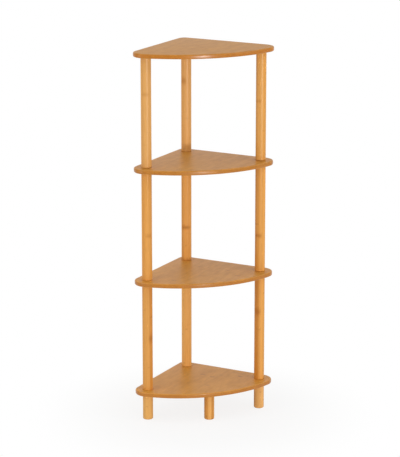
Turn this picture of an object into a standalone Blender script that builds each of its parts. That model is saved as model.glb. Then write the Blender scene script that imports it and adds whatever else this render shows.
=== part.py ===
"""A free-standing corner shelf in lacquered bamboo: four quarter-round boards on round posts and feet.

The posts and feet are screwed end to end through the boards. Each of them carries a stud in its top end,
which passes through the board above and turns into a threaded insert in the bottom end of the next post.
Under the top board, and over the front foot, the insert sits in a blind pocket of the board instead, so
that no metal shows.

Units are metres and +Z is up. The origin lies on the floor, below the middle of the unit's outline. The two
straight edges of the boards stand along the walls of a room: one at the low end of X, the other at the high
end of Y.
"""
import math

import bmesh
import bpy
from mathutils import Matrix

# The whole unit
REACH = 0.320  # from the back corner along either wall to the tip of a board
TIER_SPACING = 0.336  # from the underside of one board to the underside of the next
FOOT_HEIGHT = 0.079  # from the floor to the underside of the bottom board

# The boards
BOARD_THICKNESS = 0.013
BOARD_EDGE_FLAT = 0.006  # flat band left between the roundings above and below it
FRONT_CENTRE_SETBACK = 0.018  # how far the centre of the front curve lies behind each wall edge
TIP_RADIUS = 0.040
CORNER_RADIUS = 0.0217
POCKET_COVER = 0.0035  # bamboo left above a blind pocket in a board's underside

# The posts and feet
POST_RADIUS = 0.015
POST_CHAMFER = 0.0008
FOOT_ROUNDING = 0.003
OUTER_INSET = 0.0375  # from a board's edge to the middle of a tip post or of the front foot
BACK_INSET = 0.0325  # from each wall edge to the middle of the back post

# The studs and inserts
STUD_RADIUS = 0.004
STUD_GRIP = 0.028  # length of a stud inside the post or foot that carries it
STUD_POINT_LENGTH = 0.005
STUD_POINT_RADIUS = 0.0015
STUD_CHAMFER = 0.0008
STUD_END_SPACE = 0.002  # left between the end of a stud and the floor of the pocket it reaches into
INSERT_WALL = 0.002
INSERT_CHAMFER = 0.0006
POST_POCKET_DEPTH = 0.0143

# Fits
SEAT_GAP = 0.0003  # between two pieces that rest on or hold each other
HOLE_CLEARANCE = 0.0005  # round a stud where it passes through a board
CUT_OVERRUN = 0.001  # how far a drill runs past the face it enters
MERGE_DISTANCE = 0.000001

# Facets
FRONT_STEPS = 30
CORNER_STEPS = 8
EDGE_SEGMENTS = 4
POST_STEPS = 32
FOOT_ROUNDING_STEPS = 3
FASTENER_STEPS = 12
HOLE_STEPS = 16
SHARP_ANGLE = math.radians(40)

# Worked out from the sizes above
BOARD_EDGE_RADIUS = (BOARD_THICKNESS - BOARD_EDGE_FLAT) / 2
BOARD_POCKET_DEPTH = BOARD_THICKNESS - POCKET_COVER
POST_LENGTH = TIER_SPACING - BOARD_THICKNESS - 2 * SEAT_GAP
FOOT_LENGTH = FOOT_HEIGHT - SEAT_GAP
STUD_BORE_RADIUS = STUD_RADIUS + SEAT_GAP
INSERT_RADIUS = STUD_BORE_RADIUS + INSERT_WALL
POCKET_RADIUS = INSERT_RADIUS + SEAT_GAP

BOARD_NAMES = ("bottom", "lower", "upper", "top")
COLUMN_NAMES = ("left", "back", "right")

# Linear red, green, blue, then roughness and metallic
BOARD_FINISH = ((0.51, 0.29, 0.145), 0.36, 0.0)
POST_FINISH = ((0.73, 0.38, 0.12), 0.32, 0.0)
STUD_FINISH = ((0.62, 0.62, 0.60), 0.35, 1.0)
INSERT_FINISH = ((0.60, 0.47, 0.22), 0.40, 1.0)


def clear_scene():
    for old in list(bpy.data.objects):
        bpy.data.objects.remove(old, do_unlink=True)


def make_material(name, finish):
    colour, roughness, metallic = finish
    material = bpy.data.materials.new(name)
    material.use_nodes = True
    shader = material.node_tree.nodes["Principled BSDF"]
    shader.inputs["Base Color"].default_value = (*colour, 1.0)
    shader.inputs["Roughness"].default_value = roughness
    shader.inputs["Metallic"].default_value = metallic
    material.diffuse_color = (*colour, 1.0)
    return material


def from_corner(along_right, along_left):
    """The place of a point given by its distances from the back corner along the two walls."""
    return along_right - REACH / 2, REACH / 2 - along_left


def front_curve():
    """The front curve's centre and radius, both measured from the back corner.

    The centre lies on the diagonal, behind the corner. The radius is the one whose curve runs tangent into
    the round tips, which reach exactly to REACH along either wall.
    """
    centre = -FRONT_CENTRE_SETBACK
    to_tip = math.hypot(TIP_RADIUS - centre, REACH - TIP_RADIUS - centre)
    return centre, to_tip + TIP_RADIUS


def arc(centre, radius, start, end, steps):
    """Points along an arc, both ends included."""
    points = []
    for step in range(steps + 1):
        angle = start + (end - start) * step / steps
        points.append((centre[0] + radius * math.cos(angle), centre[1] + radius * math.sin(angle)))
    return points


def board_outline():
    """A board's outline from the back corner at (0, 0), with the walls along +X and -Y, clockwise."""
    centre, radius = front_curve()
    tip_turn = math.atan2(centre - TIP_RADIUS, REACH - TIP_RADIUS - centre)
    corner = arc((CORNER_RADIUS, -CORNER_RADIUS), CORNER_RADIUS, math.pi, math.pi / 2, CORNER_STEPS)
    right_tip = arc((REACH - TIP_RADIUS, -TIP_RADIUS), TIP_RADIUS, math.pi / 2, 0, CORNER_STEPS)
    front = arc((centre, -centre), radius, tip_turn, -math.pi / 2 - tip_turn, FRONT_STEPS)
    left_tip = arc((TIP_RADIUS, TIP_RADIUS - REACH), TIP_RADIUS, -math.pi / 2, -math.pi, CORNER_STEPS)
    return corner + right_tip + front + left_tip


def post_places():
    """The middle of each post and foot, by its name."""
    centre, radius = front_curve()
    front = centre + (radius - OUTER_INSET) / math.sqrt(2)
    return {
        "left": from_corner(OUTER_INSET, REACH - OUTER_INSET),
        "back": from_corner(BACK_INSET, BACK_INSET),
        "right": from_corner(REACH - OUTER_INSET, OUTER_INSET),
        "front": from_corner(front, front),
    }


def smooth(mesh):
    mesh.shade_smooth()
    mesh.set_sharp_from_angle(angle=SHARP_ANGLE)


def add_object(name, mesh, place, parent, material):
    piece = bpy.data.objects.new(name, mesh)
    bpy.context.scene.collection.objects.link(piece)
    piece.location = place
    piece.parent = parent
    if not mesh.materials:
        mesh.materials.append(material)
    return piece


def turned_mesh(name, profile, steps, ring=False):
    """A solid of revolution about Z from (radius, height) points.

    The profile of a full piece starts and ends on the axis. That of a ring closes on itself.
    """
    shape = bmesh.new()
    points = [shape.verts.new((radius, 0, height)) for radius, height in profile]
    edges = [shape.edges.new(pair) for pair in zip(points, points[1:])]
    if ring:
        edges.append(shape.edges.new((points[-1], points[0])))
    bmesh.ops.spin(
        shape,
        geom=points + edges,
        cent=(0, 0, 0),
        axis=(0, 0, 1),
        angle=math.tau,
        steps=steps,
        use_merge=True,
    )
    bmesh.ops.remove_doubles(shape, verts=shape.verts, dist=MERGE_DISTANCE)
    bmesh.ops.recalc_face_normals(shape, faces=shape.faces)
    mesh = bpy.data.meshes.new(name)
    shape.to_mesh(mesh)
    shape.free()
    smooth(mesh)
    return mesh


def post_mesh():
    """A post: a pocket for the insert in its bottom end and a blind bore for the stud in its top end."""
    bore_floor = POST_LENGTH - STUD_GRIP - SEAT_GAP
    profile = [
        (0, POST_POCKET_DEPTH),
        (POCKET_RADIUS, POST_POCKET_DEPTH),
        (POCKET_RADIUS, 0),
        (POST_RADIUS - POST_CHAMFER, 0),
        (POST_RADIUS, POST_CHAMFER),
        (POST_RADIUS, POST_LENGTH - POST_CHAMFER),
        (POST_RADIUS - POST_CHAMFER, POST_LENGTH),
        (STUD_BORE_RADIUS, POST_LENGTH),
        (STUD_BORE_RADIUS, bore_floor),
        (0, bore_floor),
    ]
    return turned_mesh("post", profile, POST_STEPS)


def foot_mesh():
    """A foot: a rounded lower rim, a flat sole and a blind bore for the stud in its top end."""
    bore_floor = FOOT_LENGTH - STUD_GRIP - SEAT_GAP
    rim_centre = (POST_RADIUS - FOOT_ROUNDING, FOOT_ROUNDING)
    profile = [
        (0, 0),
        *arc(rim_centre, FOOT_ROUNDING, -math.pi / 2, 0, FOOT_ROUNDING_STEPS),
        (POST_RADIUS, FOOT_LENGTH - POST_CHAMFER),
        (POST_RADIUS - POST_CHAMFER, FOOT_LENGTH),
        (STUD_BORE_RADIUS, FOOT_LENGTH),
        (STUD_BORE_RADIUS, bore_floor),
        (0, bore_floor),
    ]
    return turned_mesh("foot", profile, POST_STEPS)


def stud_mesh(name, reach):
    """A double-ended stud: pointed where it holds in bamboo, and reach long above the end of its post."""
    profile = [
        (0, -STUD_GRIP),
        (STUD_POINT_RADIUS, -STUD_GRIP),
        (STUD_RADIUS, STUD_POINT_LENGTH - STUD_GRIP),
        (STUD_RADIUS, reach - STUD_CHAMFER),
        (STUD_RADIUS - STUD_CHAMFER, reach),
        (0, reach),
    ]
    return turned_mesh(name, profile, FASTENER_STEPS)


def insert_mesh(name, pocket_depth):
    """A threaded insert, flush with the mouth of its pocket and chamfered where it enters."""
    length = pocket_depth - SEAT_GAP
    profile = [
        (STUD_BORE_RADIUS, 0),
        (INSERT_RADIUS, 0),
        (INSERT_RADIUS, length - INSERT_CHAMFER),
        (INSERT_RADIUS - INSERT_CHAMFER, length),
        (STUD_BORE_RADIUS, length),
    ]
    return turned_mesh(name, profile, FASTENER_STEPS, ring=True)


def drill_object(name, bores, parent):
    """A cutter for a board: one drill for each (middle, radius, depth), all entering from below."""
    shape = bmesh.new()
    for (x, y), radius, depth in bores:
        middle = Matrix.Translation((x, y, (depth - CUT_OVERRUN) / 2))
        bmesh.ops.create_cone(
            shape,
            cap_ends=True,
            segments=HOLE_STEPS,
            radius1=radius,
            radius2=radius,
            depth=depth + CUT_OVERRUN,
            matrix=middle,
        )
    mesh = bpy.data.meshes.new(name)
    shape.to_mesh(mesh)
    shape.free()
    cutter = bpy.data.objects.new(name, mesh)
    bpy.context.scene.collection.objects.link(cutter)
    cutter.parent = parent
    cutter.hide_render = True
    cutter.display_type = "WIRE"
    return cutter


def board_blank(name):
    """A board before drilling: the outline drawn out to its thickness."""
    shape = bmesh.new()
    x, y = from_corner(0, 0)
    outline = [shape.verts.new((x + px, y + py, 0)) for px, py in board_outline()]
    face = shape.faces.new(outline)
    top = bmesh.ops.extrude_face_region(shape, geom=[face])["geom"]
    top_points = [item for item in top if isinstance(item, bmesh.types.BMVert)]
    bmesh.ops.translate(shape, vec=(0, 0, BOARD_THICKNESS), verts=top_points)
    bmesh.ops.recalc_face_normals(shape, faces=shape.faces)
    mesh = bpy.data.meshes.new(name)
    shape.to_mesh(mesh)
    shape.free()
    return mesh


def settle_modifiers(piece, material):
    """Turns the object's modifiers into its mesh, and shades its round faces smooth."""
    evaluated = piece.evaluated_get(bpy.context.evaluated_depsgraph_get())
    mesh = bpy.data.meshes.new_from_object(evaluated)
    mesh.name = piece.name
    piece.modifiers.clear()
    piece.data = mesh
    mesh.materials.clear()
    mesh.materials.append(material)
    smooth(mesh)


def make_board(name, underside, bores, parent, material):
    """A quarter-round board with its edge rounded above and below, drilled from below."""
    piece = add_object(f"{name}_shelf", board_blank(name), (0, 0, underside), parent, material)
    rounding = piece.modifiers.new("rounded_edge", "BEVEL")
    rounding.width = BOARD_EDGE_RADIUS
    rounding.segments = EDGE_SEGMENTS
    rounding.limit_method = "ANGLE"
    rounding.angle_limit = SHARP_ANGLE
    cut = piece.modifiers.new("stud_holes", "BOOLEAN")
    cut.operation = "DIFFERENCE"
    cut.solver = "EXACT"
    cut.object = drill_object(f"{name}_drills", bores, piece)
    settle_modifiers(piece, material)
    return piece


def board_bores(name, places):
    """The holes of a board: through where a post stands above, and blind where a stud ends in the board."""
    through = STUD_RADIUS + HOLE_CLEARANCE, BOARD_THICKNESS + CUT_OVERRUN
    blind = POCKET_RADIUS, BOARD_POCKET_DEPTH
    bores = [(places[column], *(blind if name == "top" else through)) for column in COLUMN_NAMES]
    if name == "bottom":
        bores.append((places["front"], *blind))
    return bores


def build():
    clear_scene()
    board_bamboo = make_material("board_bamboo", BOARD_FINISH)
    post_bamboo = make_material("post_bamboo", POST_FINISH)
    stud_steel = make_material("stud_steel", STUD_FINISH)
    insert_brass = make_material("insert_brass", INSERT_FINISH)
    unit = bpy.data.objects.new("corner_shelf_unit", None)
    bpy.context.scene.collection.objects.link(unit)

    places = post_places()
    undersides = {}
    for tier, name in enumerate(BOARD_NAMES):
        undersides[name] = FOOT_HEIGHT + tier * TIER_SPACING
        make_board(name, undersides[name], board_bores(name, places), unit, board_bamboo)

    post = post_mesh()
    foot = foot_mesh()
    through_reach = SEAT_GAP + BOARD_THICKNESS + SEAT_GAP + POST_POCKET_DEPTH - STUD_END_SPACE
    blind_reach = SEAT_GAP + BOARD_POCKET_DEPTH - STUD_END_SPACE
    long_stud = stud_mesh("long_stud", through_reach)
    short_stud = stud_mesh("short_stud", blind_reach)
    post_insert = insert_mesh("post_insert", POST_POCKET_DEPTH)
    board_insert = insert_mesh("board_insert", BOARD_POCKET_DEPTH)

    def put(name, mesh, place, height, material):
        add_object(name, mesh, (*place, height), unit, material)

    for column in COLUMN_NAMES:
        place = places[column]
        put(f"{column}_foot", foot, place, 0, post_bamboo)
        put(f"{column}_foot_stud", long_stud, place, FOOT_LENGTH, stud_steel)
        for below, above, level in zip(BOARD_NAMES, BOARD_NAMES[1:], ("lower", "middle", "upper")):
            bottom_end = undersides[below] + BOARD_THICKNESS + SEAT_GAP
            top_end = bottom_end + POST_LENGTH
            stud = short_stud if above == "top" else long_stud
            put(f"{column}_post_{level}", post, place, bottom_end, post_bamboo)
            put(f"{column}_post_{level}_insert", post_insert, place, bottom_end, insert_brass)
            put(f"{column}_post_{level}_stud", stud, place, top_end, stud_steel)
        put(f"top_shelf_{column}_insert", board_insert, place, undersides["top"], insert_brass)

    place = places["front"]
    put("front_foot", foot, place, 0, post_bamboo)
    put("front_foot_stud", short_stud, place, FOOT_LENGTH, stud_steel)
    put("bottom_shelf_front_insert", board_insert, place, undersides["bottom"], insert_brass)


build()
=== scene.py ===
"""The looks of the bamboo corner shelf: lacquered bamboo boards, posts and feet, and their screwed joints.

Every piece stands in the place of its CAD node and takes its size from that node's box. The boards, posts
and feet are drawn again with rounder edges, and the studs and inserts get their threads. Lengths are in
metres, and angles in degrees where a comment says so.
"""
import math

import bmesh
import bpy
from mathutils import Matrix, Vector


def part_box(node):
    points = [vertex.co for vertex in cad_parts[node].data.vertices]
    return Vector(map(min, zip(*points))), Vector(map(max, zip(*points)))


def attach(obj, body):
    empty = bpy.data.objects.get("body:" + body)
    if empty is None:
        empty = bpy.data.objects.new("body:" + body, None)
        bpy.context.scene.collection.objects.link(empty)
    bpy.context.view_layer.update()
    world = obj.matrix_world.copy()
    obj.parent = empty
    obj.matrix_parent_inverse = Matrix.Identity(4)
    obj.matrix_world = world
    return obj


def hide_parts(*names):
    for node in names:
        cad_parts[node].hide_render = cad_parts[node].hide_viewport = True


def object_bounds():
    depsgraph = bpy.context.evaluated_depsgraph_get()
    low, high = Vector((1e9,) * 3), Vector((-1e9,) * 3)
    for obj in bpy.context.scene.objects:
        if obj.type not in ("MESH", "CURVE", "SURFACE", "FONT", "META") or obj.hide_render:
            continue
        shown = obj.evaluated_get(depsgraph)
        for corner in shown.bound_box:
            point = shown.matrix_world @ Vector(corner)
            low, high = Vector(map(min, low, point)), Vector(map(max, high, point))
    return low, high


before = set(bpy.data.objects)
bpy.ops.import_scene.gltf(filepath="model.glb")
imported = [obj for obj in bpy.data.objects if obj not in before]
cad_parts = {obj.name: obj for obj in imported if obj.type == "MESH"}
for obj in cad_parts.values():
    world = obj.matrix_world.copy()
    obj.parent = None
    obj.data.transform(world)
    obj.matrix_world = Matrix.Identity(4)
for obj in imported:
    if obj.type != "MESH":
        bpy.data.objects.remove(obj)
cad_low, cad_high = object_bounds()

BOARDS = ("bottom_shelf", "lower_shelf", "upper_shelf", "top_shelf")
COLUMNS = ("left", "back", "right")
LEVELS = ("lower", "middle", "upper")
FEET = ("left_foot", "back_foot", "right_foot", "front_foot")

# Sizes that the frame's boxes don't give, as in the construction
EDGE_FLAT = 0.006
FRONT_CENTRE_SETBACK = 0.018
TIP_RADIUS = 0.040
CORNER_RADIUS = 0.0217
END_CHAMFER = 0.0008
FOOT_ROUNDING = 0.003
THROUGH_HOLE_RADIUS = 0.0045
POCKET_RADIUS = 0.0066
BOARD_POCKET_DEPTH = 0.0095
POST_POCKET_DEPTH = 0.0143
STUD_BORE_RADIUS = 0.0043
STUD_BORE_DEPTH = 0.0283
STUD_GRIP = 0.028

# Details that are drawn here only: narrow faces beside the roundings, and the bevels of the through holes
SUPPORT = 0.0008
HOLE_BEVEL = 0.0004

# Vertices nearer than this are joined
WELD = 0.000001

# The machine thread, on the upper part of the studs and inside the inserts
THREAD_PITCH = 0.00125
THREAD_DEPTH = 0.0007
THREAD_FLAT = 0.12
THREAD_START = 0.001
THREAD_END = 0.0012

# The wood thread and the point, on the lower part of the studs, and the plain shank above them, which
# stands out from the thread's root by a share of its depth
WOOD_PITCH = 0.003
WOOD_DEPTH = 0.001
WOOD_FLAT = 0.3
WOOD_RUNOUT = 0.002
SHANK_SHARE = 0.6
PLAIN_SHANK = 0.006
POINT_RADIUS = 0.0012
POINT_LENGTH = 0.006

# The coarse thread outside the inserts, and the depth of the thread inside them
INSERT_PITCH = 0.0025
INSERT_DEPTH = 0.0007
INSERT_FLAT = 0.25
INSERT_BORE_DEPTH = 0.0005
INSERT_RUNOUT = 0.0012

# Facets of the pieces
FRONT_STEPS = 120
TIP_STEPS = 20
TIP_REST_STEPS = 2
EDGE_STEPS = 10
POST_STEPS = 72
ROUNDING_STEPS = 8
CHAMFER_STEPS = 3
HOLE_STEPS = 40
THREAD_TURN_STEPS = 24
THREAD_PITCH_STEPS = 8
SHARP_ANGLE = math.radians(38)

# The bamboo is glued up from strips: side by side in three plies in the boards, and as laminae in the rods.
# Both are counted from a start outside the piece, and shifted and turned a little from piece to piece.
STRIP_WIDTH = 0.0195
STRIP_START = 1.0
STRIP_SHIFT = 0.0031
PLY_COUNT = 3
CORE_PLY = 1.0
LAMINA = 0.0056
LAMINA_START = 20.0
LAMINA_SHIFT = 0.37
LAMINA_FIRST_TURN = 0.7
LAMINA_TURN = 2.399

# How far the strips are slid along the cane, each by a random share of the slide
BOARD_SLIDE = 2.7
ROD_SLIDE = 3.3
ROD_SHIFT = 0.61

# Keys that give every strip, ply and piece a random figure of its own
PLY_KEY = 57.0
BOARD_KEY = 13.7
ROD_KEY = 7.9
SLIDE_KEY = 0.41
NODE_KEY = 0.83

# Scales of the noise per metre, across the fibres and along them
FINE_FIBRES = (1500, 34)
COARSE_BUNDLES = (620, 15)
SLOW_BANDS = (130, 2.6)
DARK_FLECKS = (980, 26)
FLECK_LEVELS = (0.60, 0.74)

# Scales of the noise per metre, along X, Y and Z
BOARD_WAVE = (300, 40, 300)
ROD_WAVE = (260, 260, 30)
BLOTCH = (9, 9, 9)
MOTTLE = (60, 34, 60)

# How much each part of the figure lightens the wood, or darkens it where it is negative
BOARD_FIGURE = {
    "tone": 0.20, "fine": 1.40, "coarse": 1.00, "bands": 0.50, "blotch": 0.30, "mottle": 0.80,
    "fleck": -0.70, "glue": -0.35,
}
ROD_FIGURE = {
    "tone": 0.70, "fine": 1.30, "coarse": 0.90, "bands": 0.70,
    "fleck": -0.70, "glue": -0.35, "end": -0.35,
}

# How much each part of the figure stands out of the surface, or lies in it where it is negative, as shares
# of the reliefs below
RELIEF = {"fine": 0.4, "coarse": 0.5, "glue": -0.25, "node": -0.6}
BOARD_RELIEF = 0.00006
ROD_RELIEF = 0.00005

# How much it roughens the bare wood
BOARD_ROUGHENING = {"fine": 0.05, "blotch": 0.05}
ROD_ROUGHENING = {"fine": 0.10, "bands": 0.10}

# The glue lines' widths, as shares of a strip, ply or lamina, and how strongly the plies' lines show
GLUE_WIDTH = 0.018
PLY_GLUE_WIDTH = 0.05
PLY_GLUE_STRENGTH = 0.6
LAMINA_GLUE_WIDTH = 0.05

# Where the wood's look passes from a rim or wall to a level face, which Graph.level gives as 0 to 1
PLY_GLUE_LEVELS = (0.5, 0.85)
RIM_LEVELS = (0.35, 0.90)
END_LEVELS = (0.4, 0.9)

# The cane's nodes: their spacing along a strip, how near to them their line is full and where it ends, as
# shares of the spacing, how far the line bows and wavers, and a range of random values with its strengths
BOARD_NODE_SPACING = 0.263
BOARD_NODE_LINE = (0.003, 0.016)
BOARD_NODE_BOW = 0.008
BOARD_NODE_WAVER = 0.004
BOARD_NODE_STRENGTHS = (0.3, 1.0, 0.08, 0.34)
ROD_NODE_SPACING = 0.241
ROD_NODE_LINE = (0.003, 0.014)
ROD_NODE_STRENGTHS = (0.2, 1.0, 0.06, 0.30)

# The listed nodes: their half width on the boards, where it is full and where it ends, their half length
# there, how far they bow and waver, and how their line and the warm halo about it show on the rods
KNOT_ACROSS = (0.0050, 0.0105)
KNOT_ALONG = 0.0065
KNOT_BOW = 0.010
KNOT_WAVER = 0.006
KNOT_LINE = 0.55
KNOT_SPREAD = 1.8
KNOT_WARMTH = 1.4

# Windows on a rod's wall: where they end and where knots and streaks are full, as shares of the half width
WINDOW_END = 1.3
KNOT_FULL = 0.3
STREAK_FULL = 0.6

# A streak's even part, and the part that follows the slow bands
STREAK_EVEN = 0.6
STREAK_BANDS = 0.8

# Colours, linear red, green and blue
BOARD_LIGHT = (0.677, 0.318, 0.047)
BOARD_DARK = (0.488, 0.209, 0.024)
# Each board's colour is scaled as painted light: the lowest board is lightened against the shade of the
# boards above it, and the upper boards are darkened, the top most and its blue most of all, against the
# light and reflection that reach them from above
BOARD_PAINTED_LIGHT = {
    "bottom_shelf": (1.09, 1.09, 1.13),
    "lower_shelf": (1.02, 1.02, 1.03),
    "upper_shelf": (0.943, 0.93, 0.89),
    "top_shelf": (0.80, 0.745, 0.36),
}
# The rims' tints: partly the edge grain's own darker, more orange colour, and partly painted shade, with
# the lower boards' rims darkened more than the top's
EDGE_TINT_AND_SHADE = {
    "bottom_shelf": (0.74, 0.60, 0.44),
    "lower_shelf": (0.76, 0.61, 0.40),
    "upper_shelf": (0.81, 0.67, 0.40),
    "top_shelf": (0.96, 0.78, 0.57),
}
POST_COLOUR = {
    "upper": (0.711, 0.364, 0.108),
    "middle": (0.712, 0.327, 0.073),
    "lower": (0.724, 0.337, 0.080),
    "foot": (0.758, 0.403, 0.116),
}
POST_CONTRAST = 0.11
NO_TINT = (1.0, 1.0, 1.0)
KNOT_COLOUR = (0.34, 0.120, 0.022, 1.0)
# The tint of the streaks, which are partly painted shade, and of the warm halo about the nodes
STREAK_SHADE_AND_HALO_TINT = (0.81, 0.69, 0.50, 1.0)
STEEL_LIGHT = (0.66, 0.66, 0.64, 1.0)
STEEL_DARK = (0.46, 0.47, 0.48, 1.0)
BRASS_LIGHT = (0.66, 0.50, 0.24, 1.0)
BRASS_DARK = (0.47, 0.33, 0.14, 1.0)

# Rods tinted apart from the others of their level. On the back posts and the right foot the tint is painted
# light, which lightens them against the shade they stand in
ROD_TINT_AND_PAINTED_LIGHT = {
    "back_post_upper": (1.02, 1.04, 1.11),
    "right_post_upper": (1.00, 0.96, 0.81),
    "back_post_middle": (1.03, 1.04, 1.12),
    "back_post_lower": (1.06, 1.15, 1.34),
    "right_post_lower": (0.98, 0.97, 0.93),
    "right_foot": (1.09, 1.08, 1.20),
    "front_foot": (1.04, 0.99, 0.96),
}

# The wood's own gloss, and the lacquer's
BARE_ROUGHNESS = 0.55
RIM_ROUGHNESS = 0.20
BOARD_POLISH = 0.22
ROD_POLISH = 0.0
BOARD_COAT = {"bottom_shelf": 0.42, "lower_shelf": 0.42, "upper_shelf": 0.385, "top_shelf": 0.35}
BOARD_COAT_ROUGHNESS = 0.34
POST_COAT = 0.37
POST_COAT_ROUGHNESS = 0.27

# The boards' lacquer is mottled, and worn thinner from the back corner to the front, measured as x - y
COAT_MOTTLE = 0.40
COAT_WEAR = 0.22
BACK_OF_BOARD = -0.30
FRONT_OF_BOARD = 0.06

# The nodes that show on the boards: x, y and strength
BOARD_KNOTS = {
    "bottom_shelf": (
        (-0.042, 0.074, 0.55),
        (-0.006, 0.067, 0.60),
        (0.066, 0.110, 0.65),
        (0.0165, -0.0095, 0.40),
    ),
    "lower_shelf": ((0.037, 0.079, 0.45), (0.092, 0.039, 0.50), (-0.051, -0.090, 0.45)),
    "upper_shelf": ((0.020, 0.060, 0.30), (-0.060, -0.020, 0.30)),
    "top_shelf": ((0.020, -0.031, 0.35), (-0.050, 0.050, 0.25)),
}

# The nodes that show on the posts: height, direction and half width in degrees, half length and strength
POST_KNOTS = {
    "left_post_upper": ((0.979, -68, 40, 0.006, 0.25),),
    "left_post_middle": ((0.563, -35, 40, 0.006, 0.30),),
    "left_post_lower": ((0.251, -15, 32, 0.014, 0.55),),
    "back_post_upper": ((0.978, -99, 34, 0.012, 0.50),),
    "back_post_middle": ((0.5315, -75, 45, 0.006, 0.75), (0.5315, -35, 30, 0.005, 0.45)),
    "right_post_upper": ((0.941, -87, 34, 0.006, 0.30),),
    "right_post_middle": ((0.5377, -84, 38, 0.007, 0.60),),
    "right_post_lower": ((0.303, -90, 38, 0.012, 0.55),),
}

# Darker streaks along the rods, partly grain and partly painted shade on the rods' sides: direction and
# half width in degrees, and strength
ROD_STREAKS_AND_SHADE = {
    "left_post_upper": ((-96, 14, 0.30),),
    "back_post_upper": ((-108, 24, 0.50),),
    "right_post_upper": ((-22, 14, 0.55),),
    "left_post_middle": ((-96, 14, 0.40),),
    "back_post_middle": ((-108, 22, 0.40),),
    "right_post_middle": ((-104, 28, 0.35),),
    "left_post_lower": ((-15, 20, 0.90),),
    "right_post_lower": ((-100, 28, 0.95),),
    "front_foot": ((-104, 28, 0.95), (-20, 15, 1.0)),
}

# The plated metals: scales of the noise per metre, and how much each part lightens, dulls and raises them
TURNING_MARKS = (60, 60, 9000)
DULL_PATCHES = (420, 420, 420)
NICKS = (2600, 2600, 2600)
NICK_LEVELS = (0.68, 0.78)
METAL_SHADE = {"patches": 1.2, "nicks": -0.4}
METAL_SHADE_START = -0.1
METAL_DULLING = {"rings": 0.12, "patches": 0.14}
METAL_DULLING_START = -0.12
METAL_RELIEF = {"rings": 0.3, "nicks": -1.0}
METAL_HEIGHT = 0.00002
STEEL_ROUGHNESS = 0.34
BRASS_ROUGHNESS = 0.40

# The camera, from the shelf's back corner on the floor: before the front curve, turned a little to the left
# arm's side, and looking slightly down
VIEW_TURN = math.radians(28.127)
VIEW_PITCH = math.radians(14.473)
VIEW_DISTANCE = 6.0531
VIEW_SIDE = 0.0541
VIEW_HEIGHT = 2.0757
LENS = 162.25
SENSOR = 36.0

# The floor and the world. Within the near radius the floor shows a share of the object's shadow, and past
# the far one none.
FLOOR_SIZE = 60.0
FLOOR_COLOUR = (0.86, 0.86, 0.86, 1.0)
FLOOR_ROUGHNESS = 0.9
WHITE = (1.0, 1.0, 1.0, 1.0)
SHADOW_SHARE = 0.15
SHADOW_NEAR = 0.20
SHADOW_FAR = 0.55
WORLD_LIGHT = 0.60

# Soft lamps: azimuth and elevation in degrees, distance, height of the aim, width, height and power.
# The low one stands far off near the floor, where only the boards' rims and the posts mirror it.
LAMPS = {
    "low_softbox": (23, -8.2, 5.7, 1.09, 0.73, 0.24, 108.0),
    "right_softbox": (65, 35, 1.7, 0.55, 0.8, 1.4, 5.2),
    "left_softbox": (-60, 8, 1.7, 0.55, 0.8, 1.4, 5.0),
    "upper_softbox": (-60, 65, 1.7, 0.55, 0.8, 1.4, 4.5),
}


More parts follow.
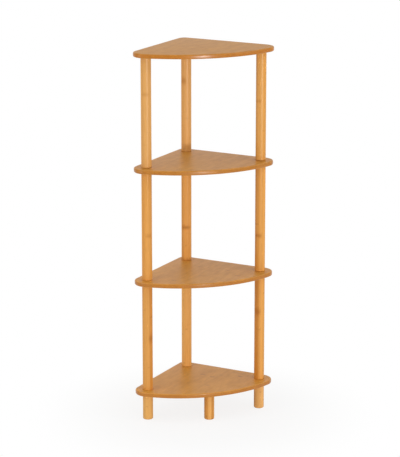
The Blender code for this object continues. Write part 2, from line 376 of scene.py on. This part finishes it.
class Graph:
    """The node tree of a material or world, with one short method for each kind of node used here."""

    def __init__(self, owner):
        owner.use_nodes = True
        self.owner = owner
        self.tree = owner.node_tree
        self.shader = self.tree.nodes.get("Principled BSDF") or self.tree.nodes["Background"]

    def put(self, socket, value):
        if isinstance(value, bpy.types.NodeSocket):
            self.tree.links.new(value, socket)
        else:
            socket.default_value = value

    def feed(self, name, value):
        """Sets or links one of the shader's own sockets."""
        self.put(self.shader.inputs[name], value)

    def math(self, operation, *values):
        node = self.tree.nodes.new("ShaderNodeMath")
        node.operation = operation
        for socket, value in zip(node.inputs, values):
            self.put(socket, value)
        return node.outputs[0]

    def total(self, *terms):
        """The sum of numbers and of (value, weight) pairs."""
        result = 0.0
        for term in terms:
            if isinstance(term, tuple):
                result = self.math("MULTIPLY_ADD", *term, result)
            else:
                result = self.math("ADD", term, result)
        return result

    def apart(self, first, second):
        """How far apart two values are."""
        return self.math("ABSOLUTE", self.math("SUBTRACT", first, second))

    def to_side(self, place):
        """How far a place that runs from 0 to 1 across a strip is from the nearer side."""
        return self.math("MINIMUM", place, self.math("SUBTRACT", 1.0, place))

    def vector_math(self, operation, *values):
        node = self.tree.nodes.new("ShaderNodeVectorMath")
        node.operation = operation
        for socket, value in zip(node.inputs, values):
            self.put(socket, value)
        return node

    def position(self):
        return self.tree.nodes.new("ShaderNodeTexCoord").outputs["Object"]

    def level(self):
        """0 on upright walls and 1 on faces that look straight up or down."""
        normal = self.tree.nodes.new("ShaderNodeNewGeometry").outputs["Normal"]
        return self.math("ABSOLUTE", self.split(normal)[2])

    def split(self, vector):
        node = self.tree.nodes.new("ShaderNodeSeparateXYZ")
        self.put(node.inputs[0], vector)
        return tuple(node.outputs)

    def combine(self, *values):
        node = self.tree.nodes.new("ShaderNodeCombineXYZ")
        for socket, value in zip(node.inputs, values):
            self.put(socket, value)
        return node.outputs[0]

    def noise(self, place, scales, detail=2.0):
        """Noise from 0 to 1, with a scale of its own along each axis."""
        scaled = [self.math("MULTIPLY", value, scale) for value, scale in zip(place, scales)]
        node = self.tree.nodes.new("ShaderNodeTexNoise")
        self.put(node.inputs["Vector"], self.combine(*scaled))
        node.inputs["Scale"].default_value = 1.0
        node.inputs["Detail"].default_value = detail
        return node.outputs["Fac"]

    def random(self, value):
        node = self.tree.nodes.new("ShaderNodeTexWhiteNoise")
        node.noise_dimensions = "1D"
        self.put(node.inputs["W"], value)
        return node.outputs["Value"]

    def fade(self, value, start, end, low=0.0, high=1.0):
        """A smooth step from low to high as the value goes from start to end."""
        node = self.tree.nodes.new("ShaderNodeMapRange")
        node.interpolation_type = "SMOOTHSTEP"
        names = ("Value", "From Min", "From Max", "To Min", "To Max")
        for name, item in zip(names, (value, start, end, low, high)):
            self.put(node.inputs[name], item)
        return node.outputs["Result"]

    def mix(self, factor, first, second, blend="MIX"):
        """Two colours mixed. A mix node's colours are its inputs 6 and 7 and its output 2."""
        node = self.tree.nodes.new("ShaderNodeMix")
        node.data_type = "RGBA"
        node.blend_type = blend
        node.clamp_factor = True
        self.put(node.inputs[0], factor)
        self.put(node.inputs[6], first)
        self.put(node.inputs[7], second)
        return node.outputs[2]

    def bump(self, height, distance):
        node = self.tree.nodes.new("ShaderNodeBump")
        self.put(node.inputs["Height"], height)
        node.inputs["Distance"].default_value = distance
        self.feed("Normal", node.outputs["Normal"])

    def lacquer(self, weight, roughness, polish):
        """A clear coat over bamboo that has little or no gloss of its own. Only its weight may vary."""
        self.feed("Specular IOR Level", polish)
        self.feed("Coat Weight", weight)
        self.feed("Coat Roughness", roughness)


def weighed(parts, weights):
    """The parts that weights names, as pairs with their weights."""
    return [(parts[name], weight) for name, weight in weights.items()]


# Bamboo

def fibres(g, place, along):
    """Fine fibres, coarse vascular bundles, slow bands and dark flecks, all drawn out along one axis."""
    def drawn_out(scale, detail=2.0):
        across, lengthwise = scale
        return g.noise(place, [lengthwise if axis == along else across for axis in range(3)], detail)

    return {
        "fine": drawn_out(FINE_FIBRES, detail=3.0),
        "coarse": drawn_out(COARSE_BUNDLES),
        "bands": drawn_out(SLOW_BANDS),
        "fleck": g.fade(drawn_out(DARK_FLECKS), *FLECK_LEVELS),
    }


def cane_nodes(g, lengthwise, spacing, line, strength):
    """Lines across the strips, which return at the spacing of the cane's nodes."""
    away = g.apart(g.math("FRACT", g.math("DIVIDE", lengthwise, spacing)), 0.5)
    return g.math("MULTIPLY", g.fade(away, *line, 1.0, 0.0), strength)


def shade_of(g, parts, weights):
    """The wood's shade, from 0 for dark to 1 for light, about a half before anything darkens it."""
    middle = 0.5 - 0.5 * sum(weight for weight in weights.values() if weight > 0)
    return g.total(middle, *weighed(parts, weights))


def board_glue(g, place, ply_place, level):
    """The glue lines between the strips, and on the rims those between the plies."""
    strips = g.fade(g.to_side(place), 0.0, GLUE_WIDTH, 1.0, 0.0)
    plies = g.fade(g.to_side(ply_place), 0.0, PLY_GLUE_WIDTH, PLY_GLUE_STRENGTH, 0.0)
    plies = g.math("MULTIPLY", plies, g.fade(level, *PLY_GLUE_LEVELS, 1.0, 0.0))
    return g.math("MAXIMUM", strips, plies)


def board_nodes(g, board, here, y, place, key):
    """The cane's nodes on a board: one every 0.26 m or so on each strip, and the listed ones.

    Here is the place in the cane, y the place along the board, and place runs from 0 to 1 across the strip.
    """
    x, y_here, _ = here
    wave = g.noise(here, BOARD_WAVE)
    bow = g.math("POWER", g.math("SUBTRACT", place, 0.5), 2.0)
    lengthwise = g.total(y_here, (bow, BOARD_NODE_BOW), (wave, BOARD_NODE_WAVER))
    strength = g.fade(g.random(g.math("ADD", key, NODE_KEY)), *BOARD_NODE_STRENGTHS)
    node = cane_nodes(g, lengthwise, BOARD_NODE_SPACING, BOARD_NODE_LINE, strength)
    line = g.total(y, (bow, KNOT_BOW), (wave, KNOT_WAVER))
    for knot_x, knot_y, knot_strength in BOARD_KNOTS[board]:
        across = g.fade(g.apart(x, knot_x), *KNOT_ACROSS, 1.0, 0.0)
        along = g.fade(g.apart(line, knot_y + KNOT_WAVER / 2), 0.0, KNOT_ALONG, knot_strength, 0.0)
        node = g.math("MAXIMUM", node, g.math("MULTIPLY", across, along))
    return node


def board_material(board, seed):
    """Plain-pressed bamboo in three plies: strips along Y in the outer two, and crosswise in the core."""
    low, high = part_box(board)
    g = Graph(bpy.data.materials.new(f"{board}_bamboo"))
    world_x, world_y, z = g.split(g.position())
    plies_up = g.math("DIVIDE", g.math("SUBTRACT", z, low.z), (high.z - low.z) / PLY_COUNT)
    ply = g.math("FLOOR", plies_up)
    core = g.math("COMPARE", ply, CORE_PLY, 0.5)
    swap = g.math("MULTIPLY", core, g.math("SUBTRACT", world_y, world_x))
    x = g.math("ADD", world_x, swap)
    y = g.math("SUBTRACT", world_y, swap)

    count = g.math("DIVIDE", g.math("ADD", x, STRIP_START + STRIP_SHIFT * seed), STRIP_WIDTH)
    place = g.math("FRACT", count)
    key = g.total(g.math("FLOOR", count), (ply, PLY_KEY), BOARD_KEY * seed)
    slide = g.random(g.math("ADD", key, SLIDE_KEY))
    here = (x, g.total(y, (slide, BOARD_SLIDE)), z)
    level = g.level()
    parts = fibres(g, here, along=1)
    parts["tone"] = g.random(key)
    parts["node"] = board_nodes(g, board, here, y, place, key)
    parts["glue"] = board_glue(g, place, g.math("FRACT", plies_up), level)
    parts["blotch"] = g.noise((world_x, world_y, z), BLOTCH, detail=1.0)
    parts["mottle"] = g.noise((world_x, world_y, z), MOTTLE)

    # The board's two tones carry its painted light
    light = opaque(times(BOARD_LIGHT, BOARD_PAINTED_LIGHT[board]))
    dark = opaque(times(BOARD_DARK, BOARD_PAINTED_LIGHT[board]))
    colour = g.mix(shade_of(g, parts, BOARD_FIGURE), dark, light)
    colour = g.mix(parts["node"], colour, KNOT_COLOUR)
    # On the rims the colour takes the rim tint, which is partly painted shade
    rim = g.fade(level, *RIM_LEVELS, 1.0, 0.0)
    g.feed("Base Color", g.mix(rim, colour, opaque(EDGE_TINT_AND_SHADE[board]), "MULTIPLY"))
    bare = g.fade(level, *RIM_LEVELS, RIM_ROUGHNESS, BARE_ROUGHNESS)
    g.feed("Roughness", g.total(bare, *weighed(parts, BOARD_ROUGHENING)))
    worn = g.fade(g.math("SUBTRACT", world_x, world_y), BACK_OF_BOARD, FRONT_OF_BOARD)
    even = 1.0 + 0.5 * COAT_WEAR - 0.5 * COAT_MOTTLE
    gloss = g.total(even, (worn, -COAT_WEAR), (parts["mottle"], COAT_MOTTLE))
    g.lacquer(g.math("MULTIPLY", gloss, BOARD_COAT[board]), BOARD_COAT_ROUGHNESS, BOARD_POLISH)
    g.bump(g.total(*weighed(parts, RELIEF)), BOARD_RELIEF)
    return g.owner


def rod_window(g, x, y, radius, direction, half_width, full, strength=1.0):
    """A stretch of a rod's wall about a direction, which is in degrees, as the half width is."""
    direction = math.radians(direction)
    outer = radius * math.cos(math.radians(half_width * WINDOW_END))
    inner = radius * math.cos(math.radians(half_width * full))
    toward = g.total((x, math.cos(direction)), (y, math.sin(direction)))
    return g.fade(toward, outer, inner, 0.0, strength)


def rod_knots(g, rod, x, y, radius, line, node):
    """The listed nodes on a rod, joined to the others, and the warm halo about them."""
    halo = 0.0
    for height, direction, half_width, half_length, strength in POST_KNOTS.get(rod, ()):
        window = rod_window(g, x, y, radius, direction, half_width, KNOT_FULL)
        off = g.apart(line, height + KNOT_WAVER / 2)
        dark = g.fade(off, 0.0, half_length, KNOT_LINE * strength, 0.0)
        warm = g.fade(off, 0.0, KNOT_SPREAD * half_length, KNOT_WARMTH * strength, 0.0)
        node = g.math("MAXIMUM", node, g.math("MULTIPLY", window, dark))
        halo = g.math("MAXIMUM", halo, g.math("MULTIPLY", window, warm))
    return node, halo


def rod_material(rod, middle, radius, seed):
    """A rod turned from laminated bamboo: laminae side by side, with the fibres along the rod."""
    g = Graph(bpy.data.materials.new(f"{rod}_bamboo"))
    centred = g.vector_math("SUBTRACT", g.position(), (*middle, 0.0)).outputs["Vector"]
    x, y, z = g.split(centred)
    turn = LAMINA_FIRST_TURN + LAMINA_TURN * seed
    start = LAMINA_START + LAMINA_SHIFT * seed
    count = g.total((x, math.cos(turn) / LAMINA), (y, math.sin(turn) / LAMINA), start)
    key = g.total(g.math("FLOOR", count), ROD_KEY * seed)
    slide = g.random(g.math("ADD", key, SLIDE_KEY))
    z_here = g.total(z, (slide, ROD_SLIDE), ROD_SHIFT * seed)
    wave = g.noise((x, y, z_here), ROD_WAVE)
    strength = g.fade(slide, *ROD_NODE_STRENGTHS)
    lengthwise = g.total(z_here, (wave, KNOT_WAVER))
    node = cane_nodes(g, lengthwise, ROD_NODE_SPACING, ROD_NODE_LINE, strength)
    node, halo = rod_knots(g, rod, x, y, radius, g.total(z, (wave, KNOT_WAVER)), node)
    parts = fibres(g, (x, y, z_here), along=2)
    parts["tone"] = g.random(key)
    parts["node"] = node
    parts["glue"] = g.fade(g.to_side(g.math("FRACT", count)), 0.0, LAMINA_GLUE_WIDTH, 1.0, 0.0)
    parts["end"] = g.fade(g.level(), *END_LEVELS)

    # The rod's tint, painted light on the back posts and the right foot
    base = times(POST_COLOUR[rod.split("_")[-1]], ROD_TINT_AND_PAINTED_LIGHT.get(rod, NO_TINT))
    light = opaque(base, 1 + POST_CONTRAST)
    dark = opaque(base, 1 - POST_CONTRAST)
    colour = g.mix(shade_of(g, parts, ROD_FIGURE), dark, light)
    # Streaks of grain that are partly painted shade on the rods' sides
    for direction, half_width, strength in ROD_STREAKS_AND_SHADE.get(rod, ()):
        window = rod_window(g, x, y, radius, direction, half_width, STREAK_FULL, strength)
        streak_shade = g.math("MULTIPLY", window, g.total(STREAK_EVEN, (parts["bands"], STREAK_BANDS)))
        colour = g.mix(streak_shade, colour, STREAK_SHADE_AND_HALO_TINT, "MULTIPLY")
    colour = g.mix(halo, colour, STREAK_SHADE_AND_HALO_TINT, "MULTIPLY")
    g.feed("Base Color", g.mix(node, colour, KNOT_COLOUR))
    g.feed("Roughness", g.total(BARE_ROUGHNESS, *weighed(parts, ROD_ROUGHENING)))
    g.lacquer(POST_COAT, POST_COAT_ROUGHNESS, ROD_POLISH)
    g.bump(g.total(*weighed(parts, RELIEF)), ROD_RELIEF)
    return g.owner


# Metal

def metal_material(name, light, dark, roughness):
    """Plated metal with fine turning marks, dull patches and small nicks."""
    g = Graph(bpy.data.materials.new(name))
    place = g.split(g.position())
    parts = {
        "rings": g.noise(place, TURNING_MARKS, detail=1.0),
        "patches": g.noise(place, DULL_PATCHES, detail=3.0),
        "nicks": g.fade(g.noise(place, NICKS, detail=1.0), *NICK_LEVELS),
    }
    shade = g.total(*weighed(parts, METAL_SHADE), METAL_SHADE_START)
    g.feed("Base Color", g.mix(shade, dark, light))
    g.feed("Roughness", g.total(roughness + METAL_DULLING_START, *weighed(parts, METAL_DULLING)))
    g.feed("Metallic", 1.0)
    g.bump(g.total(*weighed(parts, METAL_RELIEF)), METAL_HEIGHT)
    return g.owner


# Geometry

def finish_mesh(name, shape, material):
    bmesh.ops.remove_doubles(shape, verts=shape.verts, dist=WELD)
    bmesh.ops.recalc_face_normals(shape, faces=shape.faces)
    mesh = bpy.data.meshes.new(name)
    shape.to_mesh(mesh)
    shape.free()
    mesh.materials.append(material)
    mesh.shade_smooth()
    mesh.set_sharp_from_angle(angle=SHARP_ANGLE)
    return mesh


def add_piece(name, mesh, node, place=(0.0, 0.0, 0.0)):
    """Puts a piece in the scene in the place of a CAD node."""
    piece = bpy.data.objects.new(name, mesh)
    bpy.context.scene.collection.objects.link(piece)
    mesh.transform(Matrix.Translation(place))
    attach(piece, "root")
    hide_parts(node)


def arc(centre, radius, start, end, steps):
    """Points along an arc, both ends included."""
    points = []
    for step in range(steps + 1):
        angle = start + (end - start) * step / steps
        points.append((centre[0] + radius * math.cos(angle), centre[1] + radius * math.sin(angle)))
    return points


def board_outline(inset):
    """A board's outline in the world, drawn in by inset all round."""
    reach = cad_high.x - cad_low.x
    centre = -FRONT_CENTRE_SETBACK
    radius = math.hypot(TIP_RADIUS - centre, reach - TIP_RADIUS - centre) + TIP_RADIUS
    tip_turn = math.atan2(centre - TIP_RADIUS, reach - TIP_RADIUS - centre)
    quarter = math.pi / 2
    tip = TIP_RADIUS - inset
    right = (reach - TIP_RADIUS, -TIP_RADIUS)
    left = (TIP_RADIUS, TIP_RADIUS - reach)
    runs = (
        arc((CORNER_RADIUS, -CORNER_RADIUS), CORNER_RADIUS - inset, math.pi, quarter, TIP_STEPS),
        arc(right, tip, quarter, 0, TIP_STEPS),
        arc(right, tip, 0, tip_turn, TIP_REST_STEPS)[1:],
        arc((centre, -centre), radius - inset, tip_turn, -quarter - tip_turn, FRONT_STEPS)[1:-1],
        arc(left, tip, -quarter - tip_turn, -quarter, TIP_REST_STEPS)[:-1],
        arc(left, tip, -quarter, -math.pi, TIP_STEPS),
    )
    return [(cad_low.x + x, cad_high.y + y) for run in runs for x, y in run]


def join_rings(shape, rings):
    """Quads between each ring of vertices and the next."""
    for first, second in zip(rings, rings[1:]):
        count = len(first)
        for i in range(count):
            j = (i + 1) % count
            shape.faces.new((first[i], first[j], second[j], second[i]))


def ring_at(shape, points, height):
    return [shape.verts.new((x, y, height)) for x, y in points]


def turned_wall(shape, middle, profile, steps):
    """A round wall about the upright axis through middle, from (radius, height) points."""
    last_turn = math.tau * (steps - 1) / steps
    wall = [
        ring_at(shape, arc(middle, radius, 0, last_turn, steps - 1), height)
        for radius, height in profile
    ]
    join_rings(shape, wall)
    return wall


def loop_edges(shape, ring):
    edges = []
    for i, vertex in enumerate(ring):
        pair = (vertex, ring[(i + 1) % len(ring)])
        edges.append(shape.edges.get(pair) or shape.edges.new(pair))
    return edges


def board_mesh(name, low, high, through, blind, material):
    """A round-edged quarter-round board, with through holes for studs and blind pockets for inserts."""
    shape = bmesh.new()
    rounding = (high - low - EDGE_FLAT) / 2
    rings = [ring_at(shape, board_outline(rounding + SUPPORT), low)]
    for step in range(EDGE_STEPS + 1):
        turn = math.pi / 2 * step / EDGE_STEPS
        inset = rounding * (1 - math.sin(turn))
        rings.append(ring_at(shape, board_outline(inset), low + rounding * (1 - math.cos(turn))))
    for step in range(EDGE_STEPS + 1):
        turn = math.pi / 2 * step / EDGE_STEPS
        inset = rounding * (1 - math.cos(turn))
        rings.append(ring_at(shape, board_outline(inset), high - rounding * (1 - math.sin(turn))))
    rings.append(ring_at(shape, board_outline(rounding + SUPPORT), high))
    join_rings(shape, rings)

    mouth = THROUGH_HOLE_RADIUS + HOLE_BEVEL
    hole = (
        (mouth, low),
        (THROUGH_HOLE_RADIUS, low + HOLE_BEVEL),
        (THROUGH_HOLE_RADIUS, high - HOLE_BEVEL),
        (mouth, high),
    )
    pocket = ((POCKET_RADIUS, low), (POCKET_RADIUS, low + BOARD_POCKET_DEPTH))
    under_rims, upper_rims = [], []
    for middle in through:
        wall = turned_wall(shape, middle, hole, HOLE_STEPS)
        under_rims.append(wall[0])
        upper_rims.append(wall[-1])
    for middle in blind:
        wall = turned_wall(shape, middle, pocket, HOLE_STEPS)
        shape.faces.new(wall[-1])
        under_rims.append(wall[0])
    for outer, rims in ((rings[0], under_rims), (rings[-1], upper_rims)):
        edges = loop_edges(shape, outer)
        for rim in rims:
            edges += loop_edges(shape, rim)
        bmesh.ops.triangle_fill(shape, edges=edges, use_beauty=True, use_dissolve=False)
    return finish_mesh(name, shape, material)


def turned_mesh(name, profile, material):
    """A solid of revolution about Z from (radius, height) points, of which the first and last are on Z."""
    shape = bmesh.new()
    turned_wall(shape, (0, 0), profile, POST_STEPS)
    return finish_mesh(name, shape, material)


def rod_top(radius, length):
    """The upper end of a post or foot: its softened rim, and the bore for the stud."""
    rim = arc((radius - END_CHAMFER, length - END_CHAMFER), END_CHAMFER, 0, math.pi / 2, CHAMFER_STEPS)
    floor = length - STUD_BORE_DEPTH
    return [
        (radius, length - END_CHAMFER - SUPPORT), *rim,
        (STUD_BORE_RADIUS, length), (STUD_BORE_RADIUS, floor), (0, floor),
    ]


def post_mesh(name, radius, length, material):
    """A post with softened ends, a pocket for the insert below and a bore for the stud above."""
    rim = arc((radius - END_CHAMFER, END_CHAMFER), END_CHAMFER, -math.pi / 2, 0, CHAMFER_STEPS)
    profile = [
        (0, POST_POCKET_DEPTH), (POCKET_RADIUS, POST_POCKET_DEPTH), (POCKET_RADIUS, 0),
        *rim, (radius, END_CHAMFER + SUPPORT),
        *rod_top(radius, length),
    ]
    return turned_mesh(name, profile, material)


def foot_mesh(name, radius, length, material):
    """A foot with a rounded sole rim and a bore for the stud above."""
    rim = arc((radius - FOOT_ROUNDING, FOOT_ROUNDING), FOOT_ROUNDING, -math.pi / 2, 0, ROUNDING_STEPS)
    profile = [(0, 0), *rim, (radius, FOOT_ROUNDING + SUPPORT), *rod_top(radius, length)]
    return turned_mesh(name, profile, material)


def thread_height(height, turn, pitch, flat):
    """How far up its flank a thread is at this place, from 0 at the root to 1 at the crest."""
    phase = (height / pitch - turn / math.tau) % 1.0
    wave = 1 - abs(2 * phase - 1)
    return min(1.0, max(0.0, (wave - flat) / (1 - 2 * flat)))


def threaded_wall(shape, low, high, radius_at, pitch):
    """Rings of vertices whose radius follows radius_at(height, turn), so many to each pitch."""
    count = max(2, round((high - low) / pitch * THREAD_PITCH_STEPS))
    rings = []
    for row in range(count + 1):
        height = low + (high - low) * row / count
        ring = []
        for step in range(THREAD_TURN_STEPS):
            turn = math.tau * step / THREAD_TURN_STEPS
            radius = radius_at(height, turn)
            ring.append(shape.verts.new((radius * math.cos(turn), radius * math.sin(turn), height)))
        rings.append(ring)
    return rings


def stud_mesh(name, radius, length, material):
    """A hanger bolt: a tapered wood thread below, a plain shank, and a machine thread up to its end."""
    root = radius - WOOD_DEPTH
    wood_end = STUD_GRIP - PLAIN_SHANK

    def wood(height, turn):
        rise = min(1.0, height / POINT_LENGTH)
        runout = min(1.0, max(0.0, (wood_end - height) / WOOD_RUNOUT))
        core = POINT_RADIUS + (root - POINT_RADIUS) * rise
        thread = (radius - root) * rise * thread_height(height, turn, WOOD_PITCH, WOOD_FLAT) * runout
        shank = (radius - root) * (1 - runout) * SHANK_SHARE
        return core + thread + shank

    def machine(height, turn):
        begun = max(0.0, (height - STUD_GRIP) / THREAD_START)
        left = max(0.0, (length - height) / THREAD_END)
        depth = THREAD_DEPTH * min(1.0, begun, left)
        return radius - THREAD_DEPTH + depth * thread_height(height, turn, THREAD_PITCH, THREAD_FLAT)

    # The wood thread is so much coarser that it gets twice as many rings to a pitch
    shape = bmesh.new()
    rings = threaded_wall(shape, 0.0, wood_end, wood, WOOD_PITCH / 2)
    rings += threaded_wall(shape, STUD_GRIP, length, machine, THREAD_PITCH)
    join_rings(shape, rings)
    shape.faces.new(rings[0])
    shape.faces.new(rings[-1])
    return finish_mesh(name, shape, material)


def insert_mesh(name, bore, radius, length, material):
    """A threaded insert: coarse thread outside, machine thread inside, smooth at both ends."""
    def rise(height):
        """From 0 at both ends to 1 between them."""
        return max(0.0, min(1.0, height / INSERT_RUNOUT, (length - height) / INSERT_RUNOUT))

    def outside(height, turn):
        depth = INSERT_DEPTH * rise(height)
        return radius - INSERT_DEPTH + depth * thread_height(height, turn, INSERT_PITCH, INSERT_FLAT)

    def inside(height, turn):
        depth = INSERT_BORE_DEPTH * rise(height)
        return bore + INSERT_BORE_DEPTH - depth * thread_height(height, turn, THREAD_PITCH, THREAD_FLAT)

    shape = bmesh.new()
    outer = threaded_wall(shape, 0.0, length, outside, THREAD_PITCH)
    inner = threaded_wall(shape, 0.0, length, inside, THREAD_PITCH)
    join_rings(shape, outer)
    join_rings(shape, inner[::-1])
    join_rings(shape, [inner[0], outer[0]])
    join_rings(shape, [outer[-1], inner[-1]])
    return finish_mesh(name, shape, material)


# The shelf

def times(colour, factors):
    return [value * factor for value, factor in zip(colour, factors)]


def opaque(colour, level=1.0):
    return (*(value * level for value in colour), 1.0)


def middle_of(node):
    low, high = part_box(node)
    return (low.x + high.x) / 2, (low.y + high.y) / 2


def add_boards():
    """The four boards, drilled under the posts and feet that screw into them."""
    for seed, board in enumerate(BOARDS, start=1):
        low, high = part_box(board)
        material = board_material(board, seed)
        columns = [middle_of(f"{column}_foot") for column in COLUMNS]
        front = [middle_of("front_foot")] if board == "bottom_shelf" else []
        through, blind = ([], columns) if board == "top_shelf" else (columns, front)
        mesh = board_mesh(f"{board}_board", low.z, high.z, through, blind, material)
        add_piece(f"{board}_board", mesh, board)


def add_rods():
    """The nine posts and the four feet."""
    posts = [f"{column}_post_{level}" for column in COLUMNS for level in LEVELS]
    for seed, rod in enumerate((*posts, *FEET), start=1):
        low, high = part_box(rod)
        middle = middle_of(rod)
        radius = (high.x - low.x) / 2
        material = rod_material(rod, middle, radius, seed)
        make = foot_mesh if rod in FEET else post_mesh
        mesh = make(f"{rod}_rod", radius, high.z - low.z, material)
        add_piece(f"{rod}_rod", mesh, rod, (*middle, low.z))


def add_fasteners(steel, brass):
    """The studs and the inserts that they screw into."""
    for node in sorted(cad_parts):
        low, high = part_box(node)
        middle = middle_of(node)
        radius = (high.x - low.x) / 2
        length = high.z - low.z
        if node.endswith("_stud"):
            mesh = stud_mesh(f"{node}_threaded", radius, length, steel)
            add_piece(f"{node}_threaded", mesh, node, (*middle, low.z))
        elif node.endswith("_insert"):
            mesh = insert_mesh(f"{node}_threaded", STUD_BORE_RADIUS, radius, length, brass)
            add_piece(f"{node}_threaded", mesh, node, (*middle, low.z))


# Camera, floor, world and lamps

ahead = Vector((-math.sin(VIEW_TURN), math.cos(VIEW_TURN), 0.0))
side = Vector((math.cos(VIEW_TURN), math.sin(VIEW_TURN), 0.0))
up = Vector((0.0, 0.0, 1.0))


def add_camera():
    """The camera, in the place that comes nearest to the photograph without a lens shift."""
    back_corner = Vector((cad_low.x, cad_high.y, 0.0))
    data = bpy.data.cameras.new("camera")
    data.lens = LENS
    data.sensor_width = SENSOR
    camera = bpy.data.objects.new("camera", data)
    bpy.context.scene.collection.objects.link(camera)
    camera.location = back_corner - VIEW_DISTANCE * ahead + VIEW_SIDE * side + VIEW_HEIGHT * up
    camera.rotation_euler = (math.pi / 2 - VIEW_PITCH, 0.0, VIEW_TURN)
    bpy.context.scene.camera = camera


def seen_directly(g):
    """1 for camera, glossy and transmission rays, and 0 for the rest."""
    path = g.tree.nodes.new("ShaderNodeLightPath")
    seen = g.math("MAXIMUM", path.outputs["Is Camera Ray"], path.outputs["Is Glossy Ray"])
    return g.math("MAXIMUM", seen, path.outputs["Is Transmission Ray"])


def add_floor():
    """A plain pale floor, shown as white as the world but for a share of the shadow about the object."""
    g = Graph(bpy.data.materials.new("floor_white"))
    g.feed("Base Color", FLOOR_COLOUR)
    g.feed("Roughness", FLOOR_ROUGHNESS)
    g.feed("Specular IOR Level", 0.0)
    emission = g.tree.nodes.new("ShaderNodeEmission")
    emission.inputs["Color"].default_value = WHITE
    distance = g.vector_math("LENGTH", g.position()).outputs["Value"]
    share = g.fade(distance, SHADOW_NEAR, SHADOW_FAR, 1.0 - SHADOW_SHARE, 1.0)
    factor = g.math("MULTIPLY", seen_directly(g), share)
    mix = g.tree.nodes.new("ShaderNodeMixShader")
    for socket, value in zip(mix.inputs, (factor, g.shader.outputs[0], emission.outputs[0])):
        g.put(socket, value)
    g.put(g.tree.nodes["Material Output"].inputs["Surface"], mix.outputs[0])

    half = FLOOR_SIZE / 2
    corners = [(-half, -half, 0), (half, -half, 0), (half, half, 0), (-half, half, 0)]
    mesh = bpy.data.meshes.new("floor")
    mesh.from_pydata(corners, [], [(0, 1, 2, 3)])
    mesh.materials.append(g.owner)
    floor = bpy.data.objects.new("floor", mesh)
    bpy.context.scene.collection.objects.link(floor)


def add_world():
    """A white world, which lights the shelf less brightly than it shows."""
    world = bpy.data.worlds.new("studio")
    bpy.context.scene.world = world
    g = Graph(world)
    g.feed("Color", WHITE)
    g.feed("Strength", g.fade(seen_directly(g), 0.0, 1.0, WORLD_LIGHT, 1.0))


def add_lamp(name, azimuth, elevation, distance, aim, width, height, power):
    """A soft lamp aimed at the shelf's axis. Azimuth 0 is the camera's side, and 90 is to its right."""
    target = Vector((0.0, 0.0, aim))
    azimuth = math.radians(azimuth)
    elevation = math.radians(elevation)
    level = side * math.sin(azimuth) - ahead * math.cos(azimuth)
    direction = level * math.cos(elevation) + up * math.sin(elevation)
    data = bpy.data.lights.new(name, "AREA")
    data.shape = "RECTANGLE"
    data.size = width
    data.size_y = height
    data.energy = power
    lamp = bpy.data.objects.new(name, data)
    bpy.context.scene.collection.objects.link(lamp)
    lamp.location = target + direction * distance
    lamp.rotation_euler = direction.to_track_quat("Z", "Y").to_euler()
    lamp.visible_camera = False


steel_look = metal_material("stud_steel_look", STEEL_LIGHT, STEEL_DARK, STEEL_ROUGHNESS)
brass_look = metal_material("insert_brass_look", BRASS_LIGHT, BRASS_DARK, BRASS_ROUGHNESS)
add_boards()
add_rods()
add_fasteners(steel_look, brass_look)
add_camera()
add_floor()
add_world()
for lamp_name, lamp_values in LAMPS.items():
    add_lamp(lamp_name, *lamp_values)

bpy.context.scene.view_settings.view_transform = "Standard"

bpy.context.view_layer.update()
